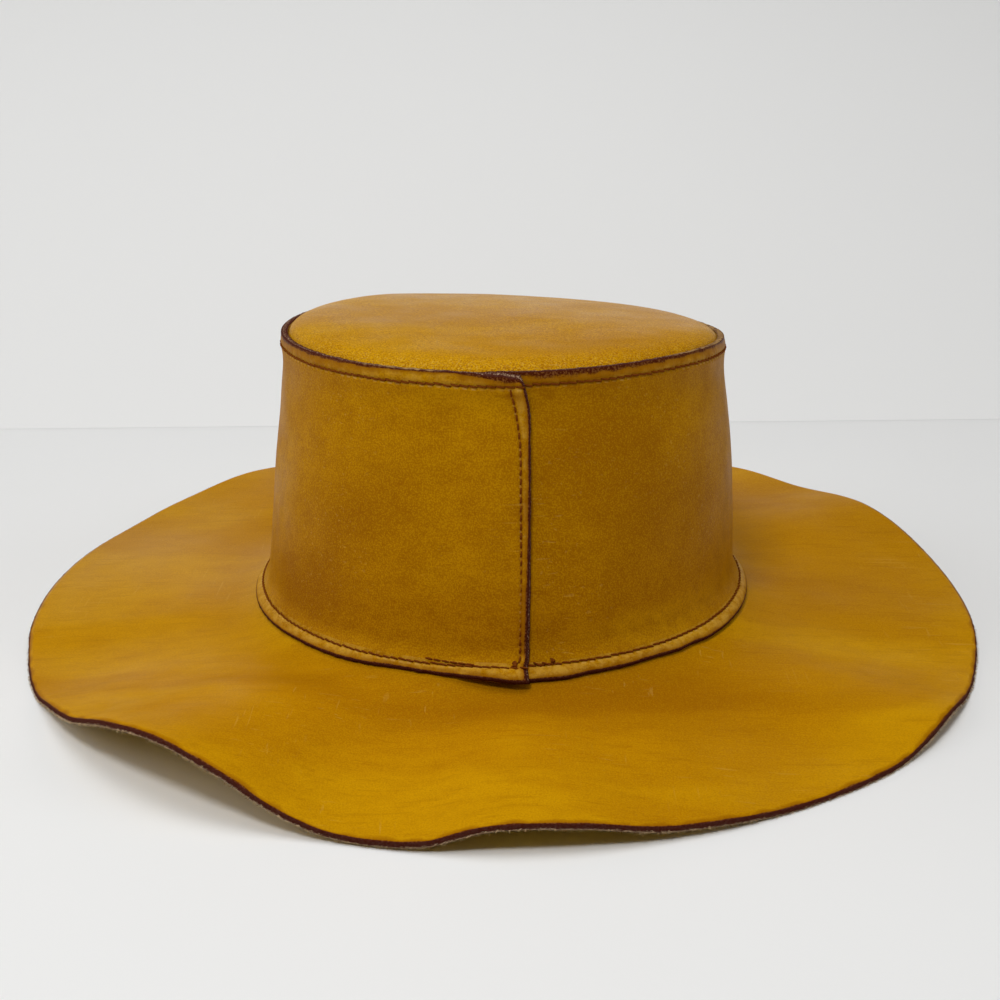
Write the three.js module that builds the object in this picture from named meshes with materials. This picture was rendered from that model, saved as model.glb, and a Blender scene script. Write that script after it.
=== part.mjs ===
// A plain leather hat with a tall oval crown and a wide wavy brim, resting on its brim.
// Millimetres, +Z up. The origin is on the surface under the middle of the brim.
// +Y is the front of the hat, and the seam of the crown is at the back, towards -Y.
// It is made of three cut pieces of leather: the crown's wall, the crown's top and the brim.

import * as THREE from 'three';

// Leather
const LEATHER = 2.4;
const GAP = 0.3;

// Crown wall. Each row is one level of the wall's outer face, from the free edge of the flared
// foot up to the rim. The level is an oval of the two half sizes, moved sideways by shift.
// The seam column is the direction of the back seam at that level, in degrees.
const WALL_LEVELS = [
  { height: 14.8, halfWidth: 93.7, halfLength: 107.1, shift: 0.0, seam: -84.9 },
  { height: 17.5, halfWidth: 90.0, halfLength: 103.4, shift: 0.0, seam: -84.9 },
  { height: 21.0, halfWidth: 88.0, halfLength: 101.3, shift: 0.0, seam: -84.4 },
  { height: 26.0, halfWidth: 87.1, halfLength: 100.3, shift: 0.0, seam: -84.3 },
  { height: 42.0, halfWidth: 86.2, halfLength: 98.7, shift: 0.5, seam: -84.3 },
  { height: 62.0, halfWidth: 84.6, halfLength: 95.9, shift: 1.1, seam: -84.5 },
  { height: 82.0, halfWidth: 82.3, halfLength: 92.3, shift: 1.7, seam: -84.7 },
  { height: 98.0, halfWidth: 80.5, halfLength: 88.8, shift: 1.6, seam: -84.55 },
  { height: 106.5, halfWidth: 80.8, halfLength: 89.0, shift: 1.5, seam: -85.65 },
  { height: 110.5, halfWidth: 80.5, halfLength: 88.8, shift: 1.3, seam: -86.4 },
];
const FOOT_EDGE = 0;
const CREASE = 3;
const SKIRT_FOOT = 7.5;
const RIM = WALL_LEVELS.length - 1;
const RIM_SWAY_FROM = 62.0;

// How much narrower than its oval the flared foot is cut in each direction, as a share of the way
// from its free edge up to the stitches.
const FOOT_TRIM = [
  { direction: -170, trim: 0.1 },
  { direction: -150, trim: 0.15 },
  { direction: -140, trim: 0.25 },
  { direction: -128, trim: 0.28 },
  { direction: -120, trim: 0.38 },
  { direction: -112, trim: 0.55 },
  { direction: -107, trim: 0.5 },
  { direction: -100, trim: 0.4 },
  { direction: -95, trim: 0.22 },
  { direction: -91, trim: 0.1 },
  { direction: -88, trim: 0.0 },
  { direction: -78, trim: 0.0 },
  { direction: -72, trim: 0.2 },
  { direction: -64, trim: 0.22 },
  { direction: -57, trim: 0.3 },
  { direction: -50, trim: 0.18 },
  { direction: -45, trim: 0.22 },
  { direction: -40, trim: 0.05 },
  { direction: -20, trim: 0.1 },
  { direction: 30, trim: 0.15 },
  { direction: 90, trim: 0.1 },
  { direction: 150, trim: 0.1 },
];

// Crown top. A row for each direction, in degrees from +X towards +Y: how far the rim stands
// above or below its level there, and how high the top's rounded shoulder rises over the skirt.
const TOP_EDGE = [
  { direction: -165, rimLift: 0.4, shoulder: 6.6 },
  { direction: -120, rimLift: 0.2, shoulder: 5.4 },
  { direction: -90, rimLift: 0.2, shoulder: 5.2 },
  { direction: -45, rimLift: 0.0, shoulder: 5.3 },
  { direction: -15, rimLift: -2.2, shoulder: 6.0 },
  { direction: 20, rimLift: -5.2, shoulder: 5.6 },
  { direction: 60, rimLift: -5.7, shoulder: 4.5 },
  { direction: 100, rimLift: -3.5, shoulder: 4.3 },
  { direction: 140, rimLift: -0.6, shoulder: 6.0 },
];
const SHOULDER_BELOW_RIM = 1.5;
const SHOULDER_POWER = 12;
const DOME_CENTRE_HEIGHT = 107.6;
const DOME_CENTRE_SHOULDER = 6.0;

// Back seam. The wall's left end laps over its right end, and swells out to it along the ramp.
const LAP_LENGTH = 9.5;
const LAP_RAMP = 24.0;

// Brim. A row for each direction of its outer edge: the height of the underside there, and how
// far the edge stands beyond its plain oval. Heights well below zero lie flat on the surface.
const BRIM_EDGE = [
  { direction: -170, height: 3.1, reach: 0.1 },
  { direction: -162, height: -1.7, reach: -0.7 },
  { direction: -154, height: -1.7, reach: -1.1 },
  { direction: -146, height: 3.4, reach: -1.8 },
  { direction: -138, height: 8.1, reach: -1.3 },
  { direction: -130, height: 15.0, reach: -0.7 },
  { direction: -122, height: 18.1, reach: 0.0 },
  { direction: -115, height: 13.5, reach: 0.0 },
  { direction: -109, height: 5.3, reach: -0.2 },
  { direction: -103, height: 0.3, reach: -0.3 },
  { direction: -97, height: 1.0, reach: 0.2 },
  { direction: -91, height: 6.7, reach: 0.1 },
  { direction: -84, height: 6.6, reach: -0.1 },
  { direction: -77, height: 2.8, reach: -0.2 },
  { direction: -70, height: 1.0, reach: -0.1 },
  { direction: -62, height: -2.3, reach: -0.2 },
  { direction: -54, height: -3.2, reach: 0.5 },
  { direction: -46, height: 2.0, reach: 0.8 },
  { direction: -38, height: 3.7, reach: 0.0 },
  { direction: -30, height: 0.2, reach: -0.4 },
  { direction: -22, height: -1.6, reach: -0.7 },
  { direction: -12, height: 1.7, reach: -0.1 },
  { direction: 0, height: 3.6, reach: 0.3 },
  { direction: 12, height: 7.6, reach: 0.2 },
  { direction: 28, height: 13.4, reach: 0.0 },
  { direction: 42, height: 10.8, reach: 0.0 },
  { direction: 54, height: 12.4, reach: 0.0 },
  { direction: 70, height: 9.0, reach: 0.0 },
  { direction: 88, height: -6.0, reach: 0.0 },
  { direction: 108, height: 9.0, reach: 0.0 },
  { direction: 128, height: 13.8, reach: 0.0 },
  { direction: 143, height: 9.8, reach: 0.0 },
  { direction: 155, height: 7.2, reach: 0.1 },
  { direction: 170, height: 6.4, reach: 0.3 },
];
const BRIM_REACH_SIDE = 84.5;
const BRIM_REACH_BACK = 92.5;
const BRIM_DROP = 4.2;
const BRIM_DROP_LENGTH = 7.0;
const BRIM_DROP_EASED = 0.85;
const BRIM_DROP_EASED_HEIGHT = 16.0;
const BRIM_DROP_EASED_RUN = [10.0, 45.0];
const BRIM_WAVE_POWER = 1.15;
const FLOOR_BLEND = 2.5;

// How finely the pieces are faceted
const AROUND = 76;
const LAP_STEPS = 3;
const RAMP_STEPS = 4;
const WALL_STEPS = [0, 0.5, 1, 2, 3, 4, 5, 6, 7, 8, 9];
const BRIM_STEPS = [1, 0.9, 0.8, 0.66, 0.48, 0.3, 0.14, 0.06, 0, -0.5, -1, -2];
const TOP_STEPS = [2, 1.5, 1, 0.985, 0.95, 0.88, 0.74, 0.46, 0];
const DIFFERENCE = 1e-3;

const LEATHER_COLOURS = { wall: 0xa96a06, top: 0xb07a1a, brim: 0xb87c12 };

const FULL_TURN = 2 * Math.PI;
const degrees = THREE.MathUtils.degToRad;

// Slope of a table's column over the row between two others.
function rowSlope(before, after, keyName, valueName) {
  return (after[valueName] - before[valueName]) / (after[keyName] - before[keyName]);
}

function hermite(low, high, lowSlope, highSlope, span, share) {
  const a = share * share * share;
  const b = share * share;
  return (2 * a - 3 * b + 1) * low + (a - 2 * b + share) * span * lowSlope
    + (3 * b - 2 * a) * high + (a - b) * span * highSlope;
}

// Value of a table with one row for each direction, at any angle in radians.
function aroundTable(rows, name, angle) {
  const turn = 360;
  const count = rows.length;
  const wanted = rows[0].direction
    + THREE.MathUtils.euclideanModulo(THREE.MathUtils.radToDeg(angle) - rows[0].direction, turn);
  const row = (index) => {
    const laps = Math.floor(index / count);
    const source = rows[index - laps * count];
    return { ...source, direction: source.direction + laps * turn };
  };
  let index = 0;
  while (index + 1 < count && rows[index + 1].direction <= wanted) {
    index += 1;
  }
  const low = row(index);
  const high = row(index + 1);
  const span = high.direction - low.direction;
  const lowSlope = rowSlope(row(index - 1), high, 'direction', name);
  const highSlope = rowSlope(low, row(index + 2), 'direction', name);
  return hermite(low[name], high[name], lowSlope, highSlope, span, (wanted - low.direction) / span);
}

// Value of one column of the wall's levels at any level number between the rows.
function levelValue(name, level) {
  const last = WALL_LEVELS.length - 1;
  const index = Math.min(Math.max(Math.floor(level), 0), last - 1);
  const before = WALL_LEVELS[Math.max(index - 1, 0)];
  const low = WALL_LEVELS[index];
  const high = WALL_LEVELS[index + 1];
  const after = WALL_LEVELS[Math.min(index + 2, last)];
  const lowSlope = (high[name] - before[name]) / (index === 0 ? 1 : 2);
  const highSlope = (after[name] - low[name]) / (index === last - 1 ? 1 : 2);
  return hermite(low[name], high[name], lowSlope, highSlope, 1, level - index);
}

function smoothRamp(value, from, to) {
  return THREE.MathUtils.smoothstep(value, from, to);
}

// A point of the wall's outer face, before any lap.
function wallFace(angle, level) {
  const height = levelValue('height', level);
  const sway = smoothRamp(height, RIM_SWAY_FROM, WALL_LEVELS[RIM].height);
  return new THREE.Vector3(
    levelValue('shift', level) + levelValue('halfWidth', level) * Math.cos(angle),
    levelValue('halfLength', level) * Math.sin(angle),
    height + sway * aroundTable(TOP_EDGE, 'rimLift', angle),
  );
}

// The wall's levels with the uneven cut of its foot: only those below the stitches move up.
function trimmedLevel(angle, level) {
  const trim = Math.max(aroundTable(FOOT_TRIM, 'trim', angle), 0);
  return level + Math.max(1 - level, 0) * trim;
}

// Outward direction of any face given as a function of two parameters.
function faceNormal(face, first, second) {
  const alongFirst = face(first + DIFFERENCE, second).sub(face(first - DIFFERENCE, second));
  const alongSecond = face(first, second + DIFFERENCE).sub(face(first, second - DIFFERENCE));
  return alongFirst.cross(alongSecond).normalize();
}

// A point at a depth under the wall's outer face. Negative depths stand proud of it.
function wallPoint(angle, level, depth) {
  return wallFace(angle, level).addScaledVector(faceNormal(wallFace, angle, level), -depth);
}

// The brim's underside. Steps up to 0 follow the turned-up margin, numbered like the wall's
// levels with a minus sign, and steps from 0 to 1 run out to the brim's free edge.
function layFlat(height) {
  if (height <= -FLOOR_BLEND) {
    return 0;
  }
  if (height >= FLOOR_BLEND) {
    return height;
  }
  return (height + FLOOR_BLEND) ** 2 / (4 * FLOOR_BLEND);
}

function brimUnderside(angle, step) {
  const marginDepth = 2 * LEATHER + GAP;
  if (step < 0) {
    return wallPoint(angle, -step, marginDepth);
  }
  const start = wallPoint(angle, FOOT_EDGE, marginDepth);
  const foot = WALL_LEVELS[1];
  const across = new THREE.Vector3(Math.cos(angle) / foot.halfWidth, Math.sin(angle) / foot.halfLength, 0);
  across.normalize();
  const sideways = Math.sin(angle) ** 2;
  const reach = THREE.MathUtils.lerp(BRIM_REACH_SIDE, BRIM_REACH_BACK, sideways)
    + aroundTable(BRIM_EDGE, 'reach', angle);
  const edge = new THREE.Vector3(foot.halfWidth * Math.cos(angle), foot.halfLength * Math.sin(angle), 0);
  edge.addScaledVector(across, reach);
  const point = new THREE.Vector3(
    THREE.MathUtils.lerp(start.x, edge.x, step),
    THREE.MathUtils.lerp(start.y, edge.y, step),
    0,
  );
  const run = Math.hypot(point.x - start.x, point.y - start.y);
  const edgeHeight = aroundTable(BRIM_EDGE, 'height', angle);
  const eased = BRIM_DROP_EASED * smoothRamp(edgeHeight, 0, BRIM_DROP_EASED_HEIGHT)
    * smoothRamp(run, ...BRIM_DROP_EASED_RUN);
  const drop = BRIM_DROP * (1 - eased) * (1 - Math.exp(-run / BRIM_DROP_LENGTH));
  const share = step ** BRIM_WAVE_POWER;
  const plain = THREE.MathUtils.lerp(start.z - drop, edgeHeight, share);
  point.z = layFlat(plain);
  return point;
}

// The crown top's outer face. Steps above 1 run down the skirt, numbered as one more than the
// share of the skirt, and steps from 1 to 0 run over the shoulder to the middle of the dome.
function topFace(angle, step) {
  const skirtDepth = LEATHER + GAP;
  const collarLevel = RIM - SHOULDER_BELOW_RIM / (WALL_LEVELS[RIM].height - WALL_LEVELS[RIM - 1].height);
  if (step > 1) {
    const level = THREE.MathUtils.lerp(collarLevel, SKIRT_FOOT, step - 1);
    return wallPoint(angle, level, skirtDepth);
  }
  const collar = wallPoint(angle, collarLevel, skirtDepth);
  const centreX = levelValue('shift', collarLevel);
  const base = THREE.MathUtils.lerp(DOME_CENTRE_HEIGHT, collar.z, step ** 2);
  const shoulder = aroundTable(TOP_EDGE, 'shoulder', angle) * Math.sqrt(1 - step ** SHOULDER_POWER);
  const middle = DOME_CENTRE_SHOULDER * Math.sqrt(1 - step ** SHOULDER_POWER);
  const rise = THREE.MathUtils.lerp(middle, shoulder, step);
  return new THREE.Vector3(
    THREE.MathUtils.lerp(centreX, collar.x, step),
    collar.y * step,
    base + rise,
  );
}

// A closed leather skin from two grids of points of the same size. The outer grid's rows and
// columns turn left-handed about the outward side. A skin that doesn't wrap gets end faces.
function closedSkin(outer, inner, wraps) {
  const positions = [];
  const numbers = new Map();
  const indices = [];
  const vertex = (point) => {
    const key = [point.x, point.y, point.z].map((value) => Math.round(value * 1e4)).join();
    if (!numbers.has(key)) {
      numbers.set(key, positions.length / 3);
      positions.push(point.x, point.y, point.z);
    }
    return numbers.get(key);
  };
  const triangle = (a, b, c) => {
    if (a !== b && b !== c && c !== a) {
      indices.push(a, b, c);
    }
  };
  const quad = (a, b, c, d) => {
    const [p, q, r, s] = [vertex(a), vertex(b), vertex(c), vertex(d)];
    triangle(p, q, r);
    triangle(p, r, s);
  };
  const rows = outer.length;
  const columns = outer[0].length;
  const spans = wraps ? columns : columns - 1;
  for (let column = 0; column < spans; column += 1) {
    const next = (column + 1) % columns;
    for (let row = 0; row + 1 < rows; row += 1) {
      quad(outer[row][column], outer[row][next], outer[row + 1][next], outer[row + 1][column]);
      quad(inner[row][next], inner[row][column], inner[row + 1][column], inner[row + 1][next]);
    }
    const last = rows - 1;
    quad(inner[0][column], inner[0][next], outer[0][next], outer[0][column]);
    quad(outer[last][column], outer[last][next], inner[last][next], inner[last][column]);
  }
  if (!wraps) {
    const end = columns - 1;
    for (let row = 0; row + 1 < rows; row += 1) {
      quad(inner[row][0], outer[row][0], outer[row + 1][0], inner[row + 1][0]);
      quad(outer[row][end], inner[row][end], inner[row + 1][end], outer[row + 1][end]);
    }
  }
  const geometry = new THREE.BufferGeometry();
  geometry.setAttribute('position', new THREE.Float32BufferAttribute(positions, 3));
  geometry.setIndex(indices);
  geometry.computeVertexNormals();
  return geometry;
}

function leatherPiece(name, geometry, colour) {
  const material = new THREE.MeshStandardMaterial({ color: colour, roughness: 0.5, metalness: 0 });
  const mesh = new THREE.Mesh(geometry, material);
  mesh.name = name;
  return mesh;
}

// Crown wall. Its columns run from the strip's inner end at the back seam, once round the hat and
// over the inner end, to the outer end. The angles are counted from the seam of each level.
function makeCrownWall() {
  const radius = WALL_LEVELS[CREASE].halfLength;
  const lapAngle = LAP_LENGTH / radius;
  const rampAngle = LAP_RAMP / radius;
  const rampEnd = FULL_TURN - lapAngle;
  const rampStart = rampEnd - rampAngle;
  const turns = [];
  for (let count = 0; count < AROUND; count += 1) {
    turns.push(THREE.MathUtils.lerp(-lapAngle, rampStart, count / AROUND));
  }
  for (let count = 0; count < RAMP_STEPS; count += 1) {
    turns.push(THREE.MathUtils.lerp(rampStart, rampEnd, count / RAMP_STEPS));
  }
  for (let count = 0; count <= LAP_STEPS; count += 1) {
    turns.push(THREE.MathUtils.lerp(rampEnd, FULL_TURN, count / LAP_STEPS));
  }
  const face = (depth) => WALL_STEPS.map((level) => {
    const seam = degrees(levelValue('seam', level));
    return turns.map((turn) => {
      const proud = (LEATHER + GAP) * smoothRamp(turn, rampStart, rampEnd);
      const angle = seam + turn;
      return wallPoint(angle, trimmedLevel(angle, level), depth - proud);
    });
  });
  const skin = closedSkin(face(0), face(LEATHER), false);
  return leatherPiece('crown_wall', skin, LEATHER_COLOURS.wall);
}

function anglesAround() {
  return Array.from({ length: AROUND }, (unused, count) => FULL_TURN * count / AROUND);
}

function makeBrim() {
  const rowsOf = (point) => BRIM_STEPS.map((step) => anglesAround().map((angle) => point(angle, step)));
  const under = rowsOf(brimUnderside);
  const upper = rowsOf((angle, step) => {
    const down = faceNormal(brimUnderside, angle, Math.min(step, 1 - DIFFERENCE));
    return brimUnderside(angle, step).addScaledVector(down, -LEATHER);
  });
  return leatherPiece('brim', closedSkin(upper, under, true), LEATHER_COLOURS.brim);
}

function makeCrownTop() {
  const rowsOf = (point) => TOP_STEPS.map((step) => anglesAround().map((angle) => point(angle, step)));
  const outer = rowsOf(topFace);
  const inner = rowsOf((angle, step) => {
    const down = step > 0 ? faceNormal(topFace, angle, step) : new THREE.Vector3(0, 0, -1);
    return topFace(angle, step).addScaledVector(down, LEATHER);
  });
  return leatherPiece('crown_top', closedSkin(outer, inner, true), LEATHER_COLOURS.top);
}

const hat = new THREE.Group();
hat.add(makeCrownWall(), makeCrownTop(), makeBrim());

export default hat;
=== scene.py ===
"""A plain leather hat with a tall oval crown and a wide wavy brim, resting on a pale floor."""

import math

import bpy
import numpy as np
from mathutils import Matrix, Vector


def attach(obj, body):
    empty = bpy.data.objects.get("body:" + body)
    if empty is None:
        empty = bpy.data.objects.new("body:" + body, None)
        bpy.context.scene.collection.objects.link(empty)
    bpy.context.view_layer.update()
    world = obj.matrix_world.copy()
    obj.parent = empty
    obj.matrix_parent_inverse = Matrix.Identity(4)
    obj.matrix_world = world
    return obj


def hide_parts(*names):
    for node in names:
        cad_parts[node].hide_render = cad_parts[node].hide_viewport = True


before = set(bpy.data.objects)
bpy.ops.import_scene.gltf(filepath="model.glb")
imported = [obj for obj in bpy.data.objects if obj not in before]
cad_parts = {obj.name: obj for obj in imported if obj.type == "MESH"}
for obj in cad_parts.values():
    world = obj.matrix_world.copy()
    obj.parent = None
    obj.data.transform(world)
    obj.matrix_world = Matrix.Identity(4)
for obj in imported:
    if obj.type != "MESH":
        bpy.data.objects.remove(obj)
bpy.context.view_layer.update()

# Millimetres in the tables and the shapes, metres in the meshes
MM = 0.001
FULL_TURN = 2.0 * math.pi

# Camera
CAMERA_AT = (-0.25, -599.1, 216.87)
CAMERA_PITCH = 0.2819
CAMERA_ROLL = -0.0099
CAMERA_LENS = 59.4
SENSOR = 36.0

# Leather
LEATHER = 2.4
GAP = 0.3
MARGIN_DEPTH = 2 * LEATHER + GAP
SKIRT_DEPTH = LEATHER + GAP

# Crown wall: height, half width, half length, sideways shift, direction of the back seam
WALL_LEVELS = np.array([
    (14.8, 93.7, 107.1, 0.0, -84.9),
    (17.5, 90.0, 103.4, 0.0, -84.9),
    (21.0, 88.0, 101.3, 0.0, -84.4),
    (26.0, 87.1, 100.3, 0.0, -84.3),
    (42.0, 86.2, 98.7, 0.5, -84.3),
    (62.0, 84.6, 95.9, 1.1, -84.5),
    (82.0, 82.3, 92.3, 1.7, -84.7),
    (98.0, 80.5, 88.8, 1.6, -84.55),
    (106.5, 80.8, 89.0, 1.5, -85.65),
    (110.5, 80.5, 88.8, 1.3, -86.4),
])
HEIGHT, HALF_WIDTH, HALF_LENGTH, SHIFT, SEAM = range(5)
BOTTOM_STITCH = 1
CREASE = 3
SKIRT_FOOT = 7.5
TOP_STITCH = 8
RIM = 9
RIM_SWAY_FROM = 62.0

# How much narrower than its oval the foot is cut: direction, share of the way to the stitches
FOOT_TRIM = np.array([
    (-170, 0.1), (-150, 0.15), (-140, 0.25), (-128, 0.28), (-120, 0.38), (-112, 0.55),
    (-107, 0.5), (-100, 0.4), (-95, 0.22), (-91, 0.1), (-88, 0.0), (-78, 0.0), (-72, 0.2),
    (-64, 0.22), (-57, 0.3), (-50, 0.18), (-45, 0.22), (-40, 0.05), (-20, 0.1), (30, 0.15),
    (90, 0.1), (150, 0.1),
])

# Crown top: direction, rim lift, shoulder height
TOP_EDGE = np.array([
    (-165, 0.4, 6.6),
    (-120, 0.2, 5.4),
    (-90, 0.2, 5.2),
    (-45, 0.0, 5.3),
    (-15, -2.2, 6.0),
    (20, -5.2, 5.6),
    (60, -5.7, 4.5),
    (100, -3.5, 4.3),
    (140, -0.6, 6.0),
])
SHOULDER_BELOW_RIM = 1.5
SHOULDER_POWER = 12
DOME_CENTRE_HEIGHT = 107.6
DOME_CENTRE_SHOULDER = 6.0

# Back seam
LAP_LENGTH = 9.5
LAP_RAMP = 24.0
LAP_SLANT = 0.8

# Brim: direction of its outer edge, height of its underside there, reach beyond a plain oval
BRIM_EDGE = np.array([
    (-170, 3.1, 0.1), (-162, -1.7, -0.7), (-154, -1.7, -1.1), (-146, 3.4, -1.8), (-138, 8.1, -1.3),
    (-130, 15.0, -0.7), (-122, 18.1, 0.0), (-115, 13.5, 0.0), (-109, 5.3, -0.2), (-103, 0.3, -0.3),
    (-97, 1.0, 0.2), (-91, 6.7, 0.1), (-84, 6.6, -0.1), (-77, 2.8, -0.2), (-70, 1.0, -0.1),
    (-62, -2.3, -0.2), (-54, -3.2, 0.5), (-46, 2.0, 0.8), (-38, 3.7, 0.0), (-30, 0.2, -0.4),
    (-22, -1.6, -0.7), (-12, 1.7, -0.1), (0, 3.6, 0.3), (12, 7.6, 0.2), (28, 13.4, 0.0),
    (42, 10.8, 0.0), (54, 12.4, 0.0), (70, 9.0, 0.0), (88, -6.0, 0.0), (108, 9.0, 0.0),
    (128, 13.8, 0.0), (143, 9.8, 0.0), (155, 7.2, 0.1), (170, 6.4, 0.3),
])
BRIM_REACH_SIDE = 84.5
BRIM_REACH_BACK = 92.5
BRIM_DROP = 4.2
BRIM_DROP_LENGTH = 7.0
BRIM_DROP_EASED = 0.85
BRIM_DROP_EASED_HEIGHT = 16.0
BRIM_DROP_EASED_RUN = (10.0, 45.0)
BRIM_WAVE_POWER = 1.15
FLOOR_BLEND = 2.5

# Stitches
PITCH = 2.9
THREAD_RADIUS = 0.33
THREAD_RINGS = 9
THREAD_SIDES = 9
THREAD_PLIES = 3
THREAD_LOBE = 0.13
THREAD_TWIST = 0.9
THREAD_TIP = 0.55
THREAD_SINK = 0.50
THREAD_PROUD = 0.12
BOTTOM_SLANT = 0.055
TOP_SLANT = 0.042
STITCH_SCATTER = 0.02
SEAM_LINE = 3.05
SEAM_LINE_AT_TOP = 4.6
SEAM_LINE_WIDENS = (84.0, 102.0)
SEAM_INSET = 0.12
SEAM_SKEW = (0.0016, 0.0006)
SEAM_FOOT_CLEAR = 1.2
SEAM_HEAD_CLEAR = 0.4

# Back-stitches left and right of the seam, and the short threads of each knot
LEFT_BACK_STITCHES = range(6, 12)
RIGHT_BACK_STITCHES = range(0, 3)
BACK_STITCH_DEPTH = -0.05
OVER_STITCH_DEPTH = -0.10
KNOT_DEPTH = -0.25
KNOT_THREADS = 7
BACK_STITCH_PROUD = 1.4
MM_IN_A_RADIAN = 90.0
MM_IN_A_LEVEL = 4.5

# Relief of a row of stitches: depths and heights, and how far they reach across it
GROOVE_DEPTH = 0.14
GROOVE_WIDTH = 0.9
DIMPLE_DEPTH = 0.30
DIMPLE_WIDTH = 0.7
PUCKER_HEIGHT = 0.13
PUCKER_AWAY = 1.3
PUCKER_WIDTH = 0.8
SEAM_RELIEF_REACH = 6.0
OUT_OF_REACH = 90.0

# Free end of the lap. Its foot corner hangs down and out. Its rim corner is lifted beside the seam,
# worn down at the end and cut at a slant, lower on its outer side.
CORNER_DROOP = 2.3
CORNER_DROOP_POWER = 1.3
CORNER_DROOP_RUN = 34.0
CORNER_DROOP_LEVELS = (2.6, 0.4)
CORNER_RIM_LEVELS = (7.9, 9.0)
CORNER_LIFT = 0.5
CORNER_LIFT_FROM = (14.0, 9.0)
CORNER_LIFT_TO = (2.5, 6.0)
CORNER_FALL = 0.6
CORNER_FALL_RUN = 5.5
CORNER_SKIVE = 1.3
CORNER_SKIVE_RUN = (15.0, 9.0)
LAP_RIDGE = 0.18

# Bevels on the upper side of the free edges: depth, width
BEVEL_POWER = 1.4
FOOT_BEVEL = (0.95, 2.0)
BRIM_BEVEL = (0.6, 1.7)

# Raw edges: how far they bulge
WALL_BULGE = 0.38
BRIM_BULGE = 0.30
TOP_BULGE = 0.4

# Where across a raw edge its core shows paler fibres, how widely, how much
BRIM_CORE = (0.95, 0.26, 1.15)
TOP_CORE = (0.5, 0.3, 0.5)
WALL_CORE_AT = 0.45
WALL_CORE_WIDTH = 0.35
RIM_CORE = 0.9
RIM_CORNER_CORE = 0.12
FOOT_CORE = 0.15

# Width of the dark line of dye beside the raw edges, and the least share of it. The dye is given as the
# distance from the edge in such widths, and past the last of them there is none.
FOOT_DYE = 0.24
LAP_DYE = 0.34
LAP_DYE_MORE_AT_FOOT = 0.14
RIM_DYE_LEAST = 0.3
RIM_DYE_MORE_AT_LAP = 0.6
BRIM_DYE = 0.32
TOP_DYE = 0.8
LEAST_SHARE = 0.4
DYE_END = 8.0

# Unevenness of the leather, of its dye and of its raw edges: strength, wavelength, waves, seed
WALL_UNEVEN = ((0.26, 60.0, 12, 3), (0.03, 16.0, 14, 4))
WALL_DYE_UNEVEN = ((0.35, 7.0, 10, 5),)
WALL_EDGE_ROUGH = ((0.10, 2.6, 16, 6), (0.05, 1.1, 16, 7))
BRIM_UNEVEN = ((0.14, 62.0, 12, 11), (0.012, 17.0, 14, 12))
BRIM_DYE_UNEVEN = ((0.45, 9.0, 12, 13),)
BRIM_EDGE_ROUGH = ((0.10, 2.8, 16, 14), (0.06, 1.2, 16, 15))
TOP_UNEVEN = ((0.10, 60.0, 12, 21), (0.012, 14.0, 14, 22))
TOP_CRINKLES = ((0.015, 3.2, 18, 23), (0.015, 1.9, 18, 24))
TOP_EDGE_ROUGH = ((0.08, 2.6, 16, 25),)

# How finely the pieces are divided
WALL_COLUMNS = 700
LAP_COLUMNS = 40
LAP_FINE_TURN = 0.07
FOOT_RUN = 13.0
FOOT_STEP = 0.62
HEAD_LEVEL = 7.4
HEAD_ROWS = 22
BRIM_COLUMNS = 720
BRIM_WIDTH = 88.0
BRIM_NEAR = 12.0
BRIM_NEAR_STEP = 0.8
BRIM_MIDDLE_ROWS = 47
BRIM_EDGE_STRIP = 2.2
BRIM_EDGE_ROWS = 7
MARGIN_LEVEL = 2.0
MARGIN_ROWS = 12
TOP_COLUMNS = 600
BORDER_END = 4.0
SKIRT_ROWS = 8
SHOULDER_ROWS = 24
DOME_ROWS = 33
DIFFERENCE = 1e-3

# The flesh sides keep one row of so many
WALL_EVERY = 4
BRIM_EVERY = 3
TOP_EVERY = 3

# Loose fibres along the brim's edge
FIBRE_COUNT = 5200
FIBRE_LENGTHS = (0.35, 1.15)
FIBRE_RADII = (0.055, 0.045, 0.02)
FIBRE_BEND = 0.10
FIBRE_CLEAR = 0.06
FIBRE_SIDES = 3

# How far the dark dye has crept from the crown's rim over the grain: direction, width
RIM_DYE = np.array([
    (-170, 0.9), (-140, 0.9), (-122, 0.5), (-108, 0.3), (-98, 0.7), (-86, 1.7), (-74, 1.6),
    (-60, 1.2), (-44, 1.0), (-20, 0.8), (30, 0.6), (90, 0.5), (150, 0.7),
])

# How tan, and not dyed dark, the inner half of the rim's raw edge is: direction, share
RIM_TAN = np.array([
    (-170, 0.1), (-150, 0.0), (-110, 0.5), (-96, 0.0), (-70, 0.0), (-52, 0.3),
    (-38, 0.45), (-10, 0.5), (40, 0.5), (80, 0.3), (130, 0.1), (165, 0.1),
])

# Soft patches, where the leather is browner, or yellower with a strength below 0. On the brim the first one
# is painted shade in front of the crown's foot instead.
# Wall: direction, height, half widths, strength
WALL_PATCHES = (
    (-124, 60, 17, 13, 0.95),
    (-138, 32, 22, 16, 0.9),
    (-104, 30, 20, 16, 0.3),
    (-96, 74, 22, 22, -0.25),
    (-140, 96, 30, 16, -0.2),
    (-66, 66, 26, 34, 0.3),
    (-40, 80, 24, 30, 0.3),
    (-114, 92, 16, 16, 0.3),
    (-72, 94, 13, 14, 0.6),
    (-50, 25, 40, 7, -0.6),
)

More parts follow.
